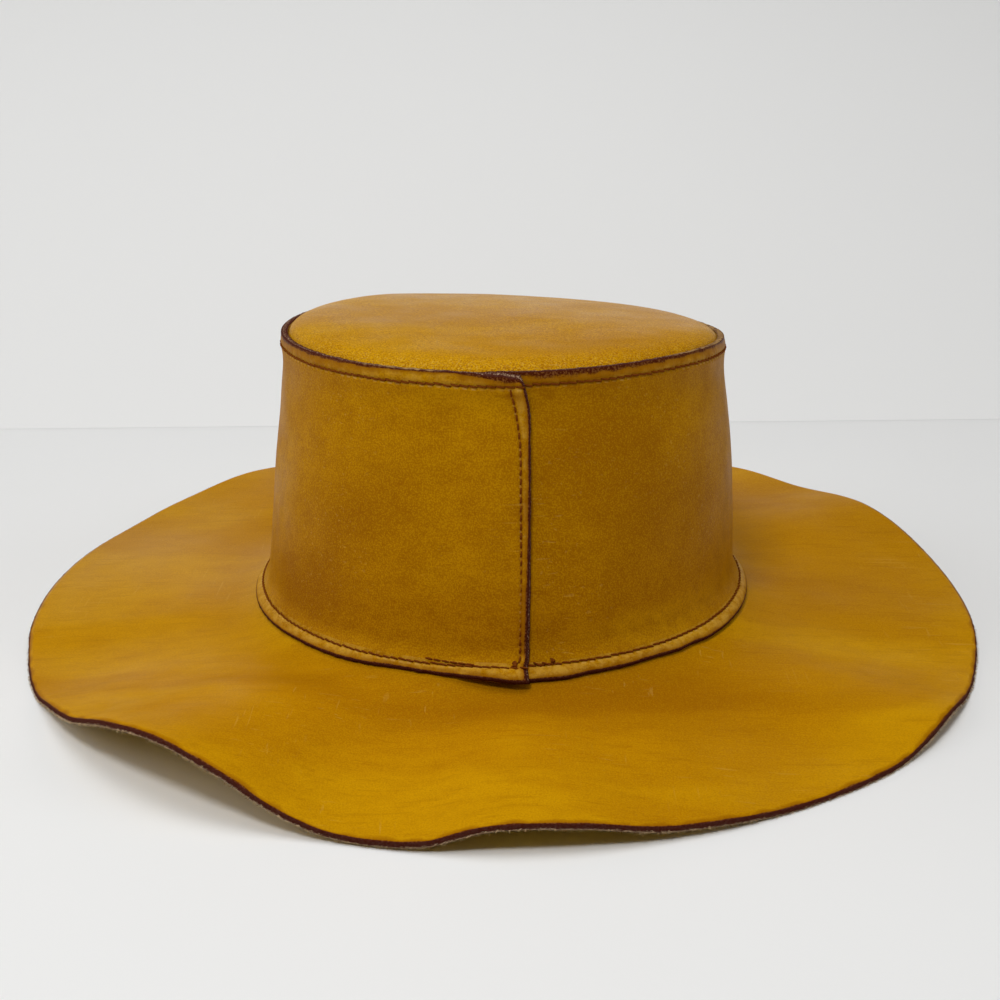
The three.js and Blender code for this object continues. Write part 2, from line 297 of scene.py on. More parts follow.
# Brim: direction, share of the way out, half widths, strength
BRIM_PATCHES_AND_SHADE = (
    # Painted shade in front of the crown's foot
    (-88, 0.10, 30, 0.24, 0.55),
    (-60, 0.30, 26, 0.25, 0.5),
    (-115, 0.35, 22, 0.35, 0.15),
    (-25, 0.40, 25, 0.5, 0.1),
    (-150, 0.75, 18, 0.4, 0.1),
    (-84, 0.85, 20, 0.3, -0.3),
    (-45, 0.8, 20, 0.3, -0.35),
    (-103, 0.9, 14, 0.25, -0.7),
    (-58, 0.65, 18, 0.3, 0.75),
    (-170, 0.12, 24, 0.2, 0.25),
    (-168, 0.85, 20, 0.25, -0.4),
    (165, 0.5, 26, 0.5, -0.5),
    (-132, 0.15, 12, 0.2, 0.3),
    (-38, 0.45, 16, 0.25, -0.4),
    (178, 0.3, 16, 0.25, 0.35),
    (-120, 0.8, 14, 0.3, 0.45),
    (20, 0.45, 24, 0.6, 0.5),
    (100, 0.3, 50, 0.4, 0.5),
)

# Top: place sideways and lengthways, half widths, strength
TOP_PATCHES = (
    (30, -56, 42, 30, 0.9),
    (-50, -30, 30, 40, -0.3),
)

# Where the leather has been waxed to a shine, on the brim as for its patches, and on the top from
# one place lengthways to another
BRIM_WAX = (
    (-172, 0.65, 22, 0.4, 0.8),
    (165, 0.55, 28, 0.6, 0.9),
    (5, 0.5, 30, 0.6, 0.15),
    (90, 0.5, 60, 0.8, 0.5),
)
TOP_WAX = (-58.0, -6.0)


def smoothstep(value, low, high):
    share = np.clip((value - low) / (high - low), 0.0, 1.0)
    return share * share * (3.0 - 2.0 * share)


def hermite(low, high, low_slope, high_slope, span, share):
    cube = share ** 3
    square = share ** 2
    return ((2 * cube - 3 * square + 1) * low + (cube - 2 * square + share) * span * low_slope
            + (3 * square - 2 * cube) * high + (cube - square) * span * high_slope)


def around(rows, column, angle):
    """Value of a table with one row for each direction in degrees, at any angle in radians."""
    keys = np.concatenate([rows[-2:, 0] - 360.0, rows[:, 0], rows[:2, 0] + 360.0])
    values = np.concatenate([rows[-2:, column], rows[:, column], rows[:2, column]])
    slopes = (values[2:] - values[:-2]) / (keys[2:] - keys[:-2])
    wanted = keys[2] + np.mod(np.degrees(angle) - keys[2], 360.0)
    low = np.clip(np.searchsorted(keys, wanted, side="right") - 1, 2, len(keys) - 3)
    span = keys[low + 1] - keys[low]
    return hermite(values[low], values[low + 1], slopes[low - 1], slopes[low], span,
                   (wanted - keys[low]) / span)


def level_value(column, level):
    """One column of the wall's levels at any level number between the rows."""
    values = WALL_LEVELS[:, column]
    slopes = np.gradient(values)
    low = np.clip(np.floor(level).astype(int), 0, RIM - 1)
    return hermite(values[low], values[low + 1], slopes[low], slopes[low + 1], 1.0, level - low)


def wall_face(angle, level):
    """The wall's outer face, before any lap."""
    height = level_value(HEIGHT, level)
    sway = smoothstep(height, RIM_SWAY_FROM, WALL_LEVELS[RIM, HEIGHT])
    return np.stack([
        level_value(SHIFT, level) + level_value(HALF_WIDTH, level) * np.cos(angle),
        level_value(HALF_LENGTH, level) * np.sin(angle),
        height + sway * around(TOP_EDGE, 1, angle),
    ], axis=-1)


def trimmed_level(angle, level):
    """The wall's levels with the uneven cut of its foot: only those below the stitches move up."""
    trim = np.maximum(around(FOOT_TRIM, 1, angle), 0.0)
    return level + np.maximum(1.0 - level, 0.0) * trim


def unit(vectors):
    return vectors / np.maximum(np.linalg.norm(vectors, axis=-1, keepdims=True), 1e-12)


def wall_normal(angle, level):
    along = wall_face(angle + DIFFERENCE, level) - wall_face(angle - DIFFERENCE, level)
    up = wall_face(angle, level + DIFFERENCE) - wall_face(angle, level - DIFFERENCE)
    return unit(np.cross(along, up))


def wall_point(angle, level, depth):
    angle, level, depth = np.broadcast_arrays(angle, level, depth)
    return wall_face(angle, level) - wall_normal(angle, level) * depth[..., None]


def brim_underside(angle, step):
    """Steps below 0 are the turned-up margin, and steps from 0 to 1 run out to the free edge."""
    angle, step = np.broadcast_arrays(angle, np.asarray(step, float))
    margin = wall_point(angle, np.maximum(-step, 0.0), MARGIN_DEPTH)
    start = wall_point(angle, np.zeros_like(step), MARGIN_DEPTH)
    foot = WALL_LEVELS[BOTTOM_STITCH]
    oval = np.stack([foot[HALF_WIDTH] * np.cos(angle), foot[HALF_LENGTH] * np.sin(angle)], axis=-1)
    across = unit(np.stack([np.cos(angle) / foot[HALF_WIDTH], np.sin(angle) / foot[HALF_LENGTH]], axis=-1))
    edge_height = around(BRIM_EDGE, 1, angle)
    reach = BRIM_REACH_SIDE + (BRIM_REACH_BACK - BRIM_REACH_SIDE) * np.sin(angle) ** 2
    reach = reach + around(BRIM_EDGE, 2, angle)
    edge = oval + across * reach[..., None]
    out = np.clip(step, 0.0, None)
    flat = start[..., :2] + (edge - start[..., :2]) * out[..., None]
    run = np.linalg.norm(flat - start[..., :2], axis=-1)
    eased = BRIM_DROP_EASED * smoothstep(edge_height, 0.0, BRIM_DROP_EASED_HEIGHT)
    eased = eased * smoothstep(run, *BRIM_DROP_EASED_RUN)
    drop = BRIM_DROP * (1 - eased) * (1 - np.exp(-run / BRIM_DROP_LENGTH))
    share = out ** BRIM_WAVE_POWER
    plain = (start[..., 2] - drop) * (1 - share) + edge_height * share
    laid = np.where(plain <= -FLOOR_BLEND, 0.0,
                    np.where(plain >= FLOOR_BLEND, plain, (plain + FLOOR_BLEND) ** 2 / (4 * FLOOR_BLEND)))
    skirt = np.concatenate([flat, laid[..., None]], axis=-1)
    return np.where((step < 0)[..., None], margin, skirt)


def top_face(angle, step):
    """Steps above 1 run down the skirt, and steps from 1 to 0 over the shoulder to the middle."""
    angle, step = np.broadcast_arrays(angle, np.asarray(step, float))
    rise = WALL_LEVELS[RIM, HEIGHT] - WALL_LEVELS[RIM - 1, HEIGHT]
    collar_level = RIM - SHOULDER_BELOW_RIM / rise
    skirt_share = np.clip(step - 1.0, 0.0, 1.0)
    skirt = wall_point(angle, collar_level + (SKIRT_FOOT - collar_level) * skirt_share, SKIRT_DEPTH)
    collar = wall_point(angle, np.full_like(step, collar_level), SKIRT_DEPTH)
    share = np.clip(step, 0.0, 1.0)
    centre_x = level_value(SHIFT, np.float64(collar_level))
    base = DOME_CENTRE_HEIGHT + (collar[..., 2] - DOME_CENTRE_HEIGHT) * share ** 2
    round_off = np.sqrt(1 - share ** SHOULDER_POWER)
    shoulder = around(TOP_EDGE, 2, angle)
    height = base + (DOME_CENTRE_SHOULDER + (shoulder - DOME_CENTRE_SHOULDER) * share) * round_off
    dome = np.stack([
        centre_x + (collar[..., 0] - centre_x) * share,
        collar[..., 1] * share,
        height,
    ], axis=-1)
    return np.where((step > 1)[..., None], skirt, dome)


def grid_normals(points):
    """Smoothed normals of a grid of points whose rows are closed loops."""
    ring = np.concatenate([points[:, -1:], points, points[:, :1]], axis=1)
    normals = unit(np.cross(ring[:, 2:] - ring[:, :-2], np.gradient(points, axis=0)))
    for _ in range(2):
        normals[1:-1] = unit(normals[:-2] + 2 * normals[1:-1] + normals[2:])
    return normals


def ripples(points, table):
    """Smooth unevenness: for each row of the table, sine waves in random directions."""
    total = np.zeros(points.shape[:-1])
    for strength, wavelength, count, seed in table:
        draw = np.random.default_rng(seed)
        waves = np.zeros(points.shape[:-1])
        for _ in range(count):
            way = unit(draw.normal(size=3))
            length = wavelength * draw.uniform(0.6, 1.5)
            waves += np.sin(points @ way * (FULL_TURN / length) + draw.uniform(0, FULL_TURN))
        total += strength * waves / math.sqrt(count)
    return total


def run_along(points):
    """Millimetres along a line of points, from its first one."""
    return np.concatenate([[0.0], np.cumsum(np.linalg.norm(np.diff(points, axis=0), axis=1))])


# Millimetres up the wall at the back, to turn them into level numbers
FINE_LEVELS = np.linspace(0, RIM, 901)
FINE_RUN = run_along(wall_face(np.full_like(FINE_LEVELS, -math.pi / 2), FINE_LEVELS))
WALL_RUN = FINE_RUN[-1]


def run_of(level):
    return np.interp(level, FINE_LEVELS, FINE_RUN)


def level_at(run):
    return np.interp(run, FINE_RUN, FINE_LEVELS)


# Back seam: the angles that the wall's lap and its ramp take
SEAM_RADIUS = WALL_LEVELS[CREASE, HALF_LENGTH]
LAP_ANGLE = LAP_LENGTH / SEAM_RADIUS
RAMP_END = FULL_TURN - LAP_ANGLE
RAMP_START = RAMP_END - LAP_RAMP / SEAM_RADIUS


def from_outer_end(turn, level):
    """Millimetres round the wall from a place to the free end of the lap."""
    return (FULL_TURN - turn) * level_value(HALF_WIDTH, level)


def seam_line(level):
    """How far the seam's stitches lie from the free end of the lap."""
    height = level_value(HEIGHT, level)
    return SEAM_LINE + (SEAM_LINE_AT_TOP - SEAM_LINE) * smoothstep(height, *SEAM_LINE_WIDENS)


def ring_holes(level):
    """Turns of a sewn ring's needle holes, and how many holes lie before each of many fine turns."""
    turns = np.linspace(0, FULL_TURN, 6001)
    seam = math.radians(level_value(SEAM, np.float64(level)))
    run = run_along(wall_face(seam + turns, np.full_like(turns, float(level))))
    count = round(run[-1] / PITCH)
    holes = np.interp(np.linspace(0, run[-1], count + 1), run, turns)
    return holes, turns, run * count / run[-1]


BOTTOM_HOLES, BOTTOM_TURNS, BOTTOM_COUNT = ring_holes(BOTTOM_STITCH)
TOP_HOLES, TOP_TURNS, TOP_COUNT = ring_holes(TOP_STITCH)
SEAM_FOOT_RUN = run_of(BOTTOM_STITCH) + SEAM_FOOT_CLEAR
SEAM_HEAD_RUN = run_of(TOP_STITCH) - SEAM_HEAD_CLEAR
SEAM_STITCHES = round((SEAM_HEAD_RUN - SEAM_FOOT_RUN) / PITCH)
SEAM_PITCH = (SEAM_HEAD_RUN - SEAM_FOOT_RUN) / SEAM_STITCHES


def sewn_relief(along, across, pitch):
    """Groove of a row of stitches with a dimple at each hole and a pucker between two holes."""
    near_hole = (along - np.round(along)) * pitch
    groove = GROOVE_DEPTH * np.exp(-(across / GROOVE_WIDTH) ** 2)
    dimple = DIMPLE_DEPTH * np.exp(-(near_hole ** 2 + across ** 2) / DIMPLE_WIDTH ** 2)
    between = 0.5 - 0.5 * np.cos(FULL_TURN * along)
    pucker = PUCKER_HEIGHT * between * np.exp(-((np.abs(across) - PUCKER_AWAY) / PUCKER_WIDTH) ** 2)
    return pucker - groove - dimple


def wall_surface(turn, level, depth):
    """A point of the finished wall: turn is counted from the seam of its level."""
    turn, level, depth = np.broadcast_arrays(turn, level, np.asarray(depth, float))
    angle = np.radians(level_value(SEAM, level)) + turn
    normal = wall_normal(angle, level)
    proud = (LEATHER + GAP) * smoothstep(turn, RAMP_START, RAMP_END)
    points = wall_face(angle, level) + normal * (proud - depth)[..., None]
    to_end = from_outer_end(turn, level)
    down = wall_face(angle, level - DIFFERENCE) - wall_face(angle, level + DIFFERENCE)
    droop = CORNER_DROOP * smoothstep(to_end, CORNER_DROOP_RUN, 0.0) ** CORNER_DROOP_POWER
    droop = droop * smoothstep(level, *CORNER_DROOP_LEVELS)
    lift = CORNER_LIFT * smoothstep(to_end, *CORNER_LIFT_FROM) * smoothstep(to_end, *CORNER_LIFT_TO)
    fall = CORNER_FALL * smoothstep(to_end, CORNER_FALL_RUN, 0.0)
    skived = CORNER_SKIVE * smoothstep(to_end, *CORNER_SKIVE_RUN) * np.clip(1.0 - depth / LEATHER, 0.0, 1.0)
    at_rim = smoothstep(level, *CORNER_RIM_LEVELS) * (fall + skived - lift)
    points = points + unit(down) * (droop + at_rim)[..., None]
    return points, normal


# Building of closed leather skins

GRAIN, RAW_EDGE, FLESH = range(3)

# Section of a raw edge: share of the way across it, share of its bulge
EDGE_PROFILE = ((0.03, 0.40), (0.12, 0.75), (0.32, 1.0), (0.68, 1.0), (0.88, 0.75), (0.97, 0.40))


class Skin:
    """Vertices with named values, and faces with a material number each."""

    def __init__(self, *value_names):
        self.points = []
        self.values = {name: [] for name in value_names}
        self.count = 0
        self.faces = []
        self.kinds = []

    def add_points(self, points, core=0.0, **values):
        points = points.reshape(-1, 3)
        values["core"] = core
        first = self.count
        self.points.append(points)
        for name, column in self.values.items():
            column.append(np.broadcast_to(np.asarray(values[name], float).reshape(-1), (len(points),)))
        self.count += len(points)
        return first + np.arange(len(points))

    def add_faces(self, corners, kind):
        corners = np.stack([np.asarray(corner).reshape(-1) for corner in corners], axis=1)
        self.faces.extend(corners.tolist())
        self.kinds.append(np.full(len(corners), kind))

    def add_grid(self, ids, kind, wraps, inward=False):
        columns = np.arange(ids.shape[1] if wraps else ids.shape[1] - 1)
        following = (columns + 1) % ids.shape[1]
        low, high = ids[:-1], ids[1:]
        corners = [low[:, columns], low[:, following], high[:, following], high[:, columns]]
        self.add_faces(corners[::-1] if inward else corners, kind)

    def add_edge(self, outer_loop, inner_loop, outer_points, inner_points, out, bulge, values, core):
        """A rounded raw edge. Each loop has the leather on its left, seen from outside."""
        rings = [outer_loop]
        at, width, amount = core
        for share, swell in EDGE_PROFILE:
            ring = outer_points + (inner_points - outer_points) * share + out * (bulge * swell)[:, None]
            pale = amount * np.exp(-((share - at) / width) ** 2)
            rings.append(self.add_points(ring, **values, core=pale))
        for near, far in zip(rings[:-1], rings[1:]):
            self.add_faces([np.roll(near, -1), near, far, np.roll(far, -1)], RAW_EDGE)
        last = rings[-1]
        if len(inner_loop) == len(last):
            self.add_faces([np.roll(last, -1), last, inner_loop, np.roll(inner_loop, -1)], RAW_EDGE)
        return last

    def add_zipper(self, first, first_at, second, second_at, kind):
        """Triangles between two closed loops of different numbers of points, at places round a border."""
        i = j = 0
        triangles = []
        while i < len(first) or j < len(second):
            next_i = first_at[i + 1] if i + 1 < len(first) else BORDER_END
            next_j = second_at[j + 1] if j + 1 < len(second) else BORDER_END
            a, b = first[i % len(first)], second[j % len(second)]
            if j >= len(second) or (i < len(first) and next_i <= next_j):
                triangles.append((first[(i + 1) % len(first)], a, b))
                i += 1
            else:
                triangles.append((a, b, second[(j + 1) % len(second)]))
                j += 1
        self.add_faces(np.array(triangles).T, kind)

    def build(self, name, materials):
        mesh = bpy.data.meshes.new(name)
        points = np.concatenate(self.points) * MM
        mesh.from_pydata(points.tolist(), [], self.faces)
        mesh.polygons.foreach_set("use_smooth", np.ones(len(self.faces), bool))
        mesh.polygons.foreach_set("material_index", np.concatenate(self.kinds))
        for key, column in self.values.items():
            attribute = mesh.attributes.new(key, "FLOAT", "POINT")
            attribute.data.foreach_set("value", np.concatenate(column).astype(np.float32))
        for material in materials:
            mesh.materials.append(material)
        mesh.update()
        piece = bpy.data.objects.new(name, mesh)
        bpy.context.scene.collection.objects.link(piece)
        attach(piece, "root")
        return piece


def patches(table, first, second, round_about=True):
    """The sum of a table's soft patches at each place. Round about, the first place is in degrees."""
    total = np.zeros_like(second)
    for first_middle, second_middle, first_half, second_half, strength in table:
        away = first - first_middle
        if round_about:
            away = np.mod(away + 180.0, 360.0) - 180.0
        total += strength * np.exp(-(away / first_half) ** 2 - ((second - second_middle) / second_half) ** 2)
    return total


def bevel(distance, depth, width):
    return depth * smoothstep(distance, width, 0.0) ** BEVEL_POWER


def some_rows(count, every):
    """Numbers of the rows that are kept of a finer grid, with the last one."""
    return np.unique(np.concatenate([np.arange(0, count, every), [count - 1]]))


def two_faces(values, outer, inner, every, wraps, outer_inward=False):
    """A skin with a fine grain face and a flesh face of fewer rows."""
    skin = Skin(*values, "core")
    kept = some_rows(len(outer), every)
    inner_values = {name: value[kept] for name, value in values.items()}
    outer_ids = skin.add_points(outer, **values).reshape(outer.shape[:2])
    inner_ids = skin.add_points(inner[kept], **inner_values).reshape(len(kept), -1)
    skin.add_grid(outer_ids, GRAIN, wraps, inward=outer_inward)
    skin.add_grid(inner_ids, FLESH, wraps, inward=not outer_inward)
    return skin, outer_ids, inner_ids


def border(grid):
    """What lies round the border of a grid, as one closed loop."""
    return np.concatenate([grid[0, :-1], grid[:-1, -1], grid[-1, :0:-1], grid[:0:-1, 0]])


def border_places(row_places, columns):
    """Where a grid's border points lie along it, with 1 for each of its sides."""
    along_row = np.linspace(0, 1, columns)[:-1]
    along_column = row_places / row_places[-1]
    return np.concatenate([along_row, 1 + along_column[:-1], 2 + along_row,
                           BORDER_END - along_column[:0:-1]])


def make_wall(materials):
    runs = np.unique(np.concatenate([
        np.arange(0, FOOT_RUN, FOOT_STEP),
        np.arange(FOOT_RUN, run_of(HEAD_LEVEL), PITCH / 2),
        np.linspace(run_of(HEAD_LEVEL), WALL_RUN, HEAD_ROWS),
    ]))
    levels = level_at(runs)
    levels[-1] = RIM
    fine_from = RAMP_END - LAP_FINE_TURN
    turns = np.concatenate([
        np.linspace(-LAP_ANGLE, fine_from, WALL_COLUMNS - LAP_COLUMNS, endpoint=False),
        np.linspace(fine_from, FULL_TURN, LAP_COLUMNS),
    ])
    turn, level = np.meshgrid(turns, levels)
    level = trimmed_level(np.radians(level_value(SEAM, level)) + turn, level)
    angle = np.radians(level_value(SEAM, level)) + turn
    run = run_of(level)
    from_foot = run - run[:1]
    to_end = from_outer_end(turn, level)

    # The lap's end is cut at a slant, so the outer face stops short of the inner one.
    slant_width = LAP_SLANT * (0.6 + smoothstep(level, 5.5, 3.5))
    slant = slant_width * smoothstep(to_end, 9.0, 0.0) / level_value(HALF_WIDTH, level)
    outer, normal = wall_surface(turn - slant, level, 0.0)
    to_outer_end = from_outer_end(turn - slant, level)

    # Each sewn row: stitches counted along it, millimetres across it
    past_seam = (run < SEAM_FOOT_RUN) | (run > SEAM_HEAD_RUN)
    sewn = {
        "bottom": (np.interp(turn, BOTTOM_TURNS, BOTTOM_COUNT), run - run_of(BOTTOM_STITCH)),
        "top": (np.interp(turn, TOP_TURNS, TOP_COUNT), run - run_of(TOP_STITCH)),
        "seam": ((run - SEAM_FOOT_RUN) / SEAM_PITCH,
                 np.where(past_seam, OUT_OF_REACH, seam_line(level) - to_outer_end)),
    }
    relief = sewn_relief(*sewn["bottom"], PITCH) + sewn_relief(*sewn["top"], PITCH)
    relief += sewn_relief(*sewn["seam"], SEAM_PITCH) * (np.abs(sewn["seam"][1]) < SEAM_RELIEF_REACH)
    free = smoothstep(run, 8.0, 22.0) * smoothstep(run, WALL_RUN - 6.0, WALL_RUN - 20.0)
    relief += free * ripples(outer, WALL_UNEVEN)
    relief -= bevel(from_foot, *FOOT_BEVEL)
    relief += LAP_RIDGE * smoothstep(to_end, 12.0, 7.0) * smoothstep(to_end, 0.0, 2.0)
    outer = outer + normal * relief[..., None]

    # The inner face follows only the broad unevenness.
    inner, _ = wall_surface(turn, level, LEATHER)
    inner = inner + normal * (free * ripples(outer, WALL_UNEVEN[:1]))[..., None]

    uneven = np.maximum(1.0 + ripples(outer, WALL_DYE_UNEVEN), LEAST_SHARE)
    rim_width = np.maximum(around(RIM_DYE, 1, angle), RIM_DYE_LEAST)
    rim_width = rim_width + RIM_DYE_MORE_AT_LAP * smoothstep(to_end, 14.0, 8.0)
    lap_width = LAP_DYE + LAP_DYE_MORE_AT_FOOT * smoothstep(level, 6.0, 3.5)
    dye = np.minimum.reduce([
        from_foot / (FOOT_DYE * uneven),
        (WALL_RUN - run) / (rim_width * uneven),
        np.maximum(to_outer_end - slant_width, 0.0) / (lap_width * uneven),
    ])

    values = {
        "dye": np.minimum(dye, DYE_END),
        "tan": np.zeros_like(dye),
        "cloud": patches(WALL_PATCHES, np.degrees(angle), level_value(HEIGHT, level)),
    }
    edge_values = {"dye": 0.0, "cloud": 0.0}
    for row, (along, across) in sewn.items():
        values[row + "_along"] = along
        values[row + "_across"] = across
        edge_values[row + "_along"] = 0.5
        edge_values[row + "_across"] = OUT_OF_REACH

    skin, outer_ids, inner_ids = two_faces(values, outer, inner, WALL_EVERY, wraps=False)
    outward = np.zeros(outer.shape)
    for edge, inside in ((0, 2), (-1, -3)):
        outward[edge] += unit(outer[edge] - outer[inside])
        outward[:, edge] += unit(outer[:, edge] - outer[:, inside])
    on_rim = border(run) > WALL_RUN - 0.01
    edge_values["tan"] = np.where(on_rim, around(RIM_TAN, 1, border(angle)), 0.0)
    pale = np.where(border(from_foot) < 0.01, FOOT_CORE, RIM_CORE)
    pale = pale + RIM_CORNER_CORE * on_rim * smoothstep(border(to_end), 9.0, 4.0)
    bulge = WALL_BULGE + ripples(border(outer), WALL_EDGE_ROUGH)
    last = skin.add_edge(border(outer_ids), [], border(outer), border(inner), unit(border(outward)),
                         bulge, edge_values, (WALL_CORE_AT, WALL_CORE_WIDTH, pale))
    columns = turn.shape[1]
    inner_places = border_places(runs[some_rows(len(runs), WALL_EVERY)], columns)
    skin.add_zipper(last, border_places(runs, columns), border(inner_ids), inner_places, RAW_EDGE)
    piece = skin.build("crown_wall_leather", materials)
    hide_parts("crown_wall")


def make_brim(materials):
    margin = -level_at(np.linspace(run_of(MARGIN_LEVEL), 0.0, MARGIN_ROWS + 1))[:-1]
    run = np.concatenate([
        np.arange(0.0, BRIM_NEAR, BRIM_NEAR_STEP),
        np.linspace(BRIM_NEAR, BRIM_WIDTH - 3.0, BRIM_MIDDLE_ROWS),
        np.linspace(BRIM_WIDTH - BRIM_EDGE_STRIP, BRIM_WIDTH, BRIM_EDGE_ROWS),
    ])
    steps = np.concatenate([margin, run / BRIM_WIDTH])
    angles = np.linspace(0, FULL_TURN, BRIM_COLUMNS, endpoint=False)
    angle, step = np.meshgrid(angles, steps)
    under = brim_underside(angle, step)
    down = grid_normals(under)
    uneven = smoothstep(step, 0.12, 0.3) * ripples(under, BRIM_UNEVEN)
    # Where the brim lies on the floor, only its upper side is uneven, and less so.
    lifted = uneven * smoothstep(under[..., 2], 0.0, 3.0)
    under = under - down * lifted[..., None]
    upper = under - down * LEATHER
    upper = upper - down * ((uneven - lifted) * 0.6)[..., None]
    from_edge = np.linalg.norm(upper - upper[-1:], axis=-1)
    upper = upper + down * bevel(from_edge, *BRIM_BEVEL)[..., None]

    wander = np.maximum(1.0 + ripples(upper, BRIM_DYE_UNEVEN), LEAST_SHARE)
    values = {
        "dye": np.minimum(from_edge / (BRIM_DYE * wander), DYE_END),
        # Patches, with painted shade in front of the crown's foot
        "cloud": patches(BRIM_PATCHES_AND_SHADE, np.degrees(angle), step),
        "wax": np.clip(patches(BRIM_WAX, np.degrees(angle), step), 0.0, 1.0),
    }
    # The brim's rows run outwards, so the side that faces out of them is the underside.
    skin, upper_ids, under_ids = two_faces(values, upper, under, BRIM_EVERY, wraps=True, outer_inward=True)
    for row, inside, way_round in ((0, 2, -1), (-1, -3, 1)):
        out = unit(under[row] - under[inside])
        bulge = BRIM_BULGE + ripples(upper[row], BRIM_EDGE_ROUGH)
        loops = (upper_ids[row], under_ids[row], upper[row], under[row], out, bulge)
        skin.add_edge(*(loop[::way_round] for loop in loops), dict.fromkeys(values, 0.0), BRIM_CORE)
    piece = skin.build("brim_leather", materials)
    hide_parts("brim")
    return upper, under


def make_top(materials):
    skirt = np.linspace(2.0, 1.0, SKIRT_ROWS + 1)[:-1]
    drop = np.linspace(0.0, 0.97, SHOULDER_ROWS)
    shoulder = (1 - drop ** 2) ** (1 / SHOULDER_POWER)
    dome = np.linspace(shoulder[-1], 0.01, DOME_ROWS + 1)[1:]
    steps = np.concatenate([skirt, shoulder, dome])
    angles = np.linspace(0, FULL_TURN, TOP_COLUMNS, endpoint=False)
    angle, step = np.meshgrid(angles, steps)
    outer = top_face(angle, step)
    out = grid_normals(outer)
    inner = outer - out * LEATHER
    free = smoothstep(step, 1.0, 0.9)
    crinkle = smoothstep(step, 0.84, 0.95) * smoothstep(step, 1.02, 0.99)
    relief = free * ripples(outer, TOP_UNEVEN) + crinkle * ripples(outer, TOP_CRINKLES)
    outer = outer + out * relief[..., None]

    values = {
        "dye": np.minimum(np.linalg.norm(outer - outer[:1], axis=-1) / TOP_DYE, DYE_END),
        "crinkle": crinkle,
        "wax": smoothstep(outer[..., 1], *TOP_WAX) * free,
        "cloud": patches(TOP_PATCHES, outer[..., 0], outer[..., 1], round_about=False),
    }
    skin, outer_ids, inner_ids = two_faces(values, outer, inner, TOP_EVERY, wraps=True)
    for ids, grid, kind in ((outer_ids, outer, GRAIN), (inner_ids, inner, FLESH)):
        centre = skin.add_points(grid[-1].mean(axis=0)[None], dye=DYE_END, crinkle=0.0, wax=1.0, cloud=0.0)
        corners = [ids[-1], np.roll(ids[-1], -1), np.repeat(centre, ids.shape[1])]
        skin.add_faces(corners if kind == GRAIN else corners[::-1], kind)
    bulge = TOP_BULGE + ripples(outer[0], TOP_EDGE_ROUGH)
    skin.add_edge(outer_ids[0], inner_ids[0], outer[0], inner[0], unit(outer[0] - outer[2]), bulge,
                  dict.fromkeys(values, 0.0), TOP_CORE)
    piece = skin.build("crown_top_leather", materials)
    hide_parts("crown_top")


# Stitches

def thread_meshes(name, stitches, material, inside=False, height=1.0):
    """One mesh of twisted stitches. Each has two ends, with the turn, level and depth of its hole."""
    starts, ends = np.moveaxis(np.array(stitches), 1, 0)
    share = np.linspace(0, 1, THREAD_RINGS)
    places = starts[:, None, :] + (ends - starts)[:, None, :] * share[None, :, None]
    bow = np.sin(math.pi * share)[None, :] ** 0.5
    side = -1.0 if inside else 1.0
    depth = places[..., 2] + side * (THREAD_SINK - (THREAD_SINK + THREAD_PROUD * height) * bow)
    centre, normal = wall_surface(places[..., 0], places[..., 1], depth)
    way = unit(np.gradient(centre, axis=1))
    normal = unit(normal - way * np.sum(normal * way, axis=-1, keepdims=True))
    third = np.cross(way, normal)
    theta = np.linspace(0, FULL_TURN, THREAD_SIDES, endpoint=False)
    twist = share * FULL_TURN * THREAD_TWIST
    lobe = 1.0 + THREAD_LOBE * np.cos(THREAD_PLIES * (theta[None, :] - twist[:, None]))
    taper = THREAD_TIP + (1 - THREAD_TIP) * np.sin(math.pi * np.clip(share, 0.02, 0.98)) ** 0.35
    radius = THREAD_RADIUS * lobe * taper[:, None]
    points = (centre[:, :, None, :]
              + normal[:, :, None, :] * (radius * np.cos(theta))[None, :, :, None]
              + third[:, :, None, :] * (radius * np.sin(theta))[None, :, :, None])
    skin = Skin()
    ids = skin.add_points(points).reshape(-1, THREAD_RINGS, THREAD_SIDES)
    for stitch in ids:
        skin.add_grid(stitch, 0, True)
    for fan, turned in ((ids[:, 0], False), (ids[:, -1], True)):
        for k in range(1, THREAD_SIDES - 1):
            corners = [fan[:, 0], fan[:, k + 1], fan[:, k]]
            skin.add_faces(corners[::-1] if turned else corners, 0)
    return skin.build(name, [material])


def stitch_row(holes, level, slant, draw):
    """A ring of stitches, each a little askew."""
    stitches = []
    for first, second in zip(holes[:-1], holes[1:]):
        shift = draw.normal(0, STITCH_SCATTER)
        stitches.append(((first, level + slant + shift, 0.0), (second, level - slant + shift, 0.0)))
    return stitches


def seam_row(draw):
    """The seam's stitches, from the foot up."""
    stitches = []
    levels = level_at(SEAM_FOOT_RUN + SEAM_PITCH * np.arange(SEAM_STITCHES + 1))
    turns = FULL_TURN - seam_line(levels) / level_value(HALF_WIDTH, levels)
    for low in range(SEAM_STITCHES):
        skew = SEAM_SKEW[0] + draw.normal(0, SEAM_SKEW[1])
        inset = SEAM_INSET * (levels[low + 1] - levels[low])
        lower = (turns[low] - skew, levels[low] + inset, 0.0)
        stitches.append((lower, (turns[low + 1] + skew, levels[low + 1] - inset, 0.0)))
    return stitches


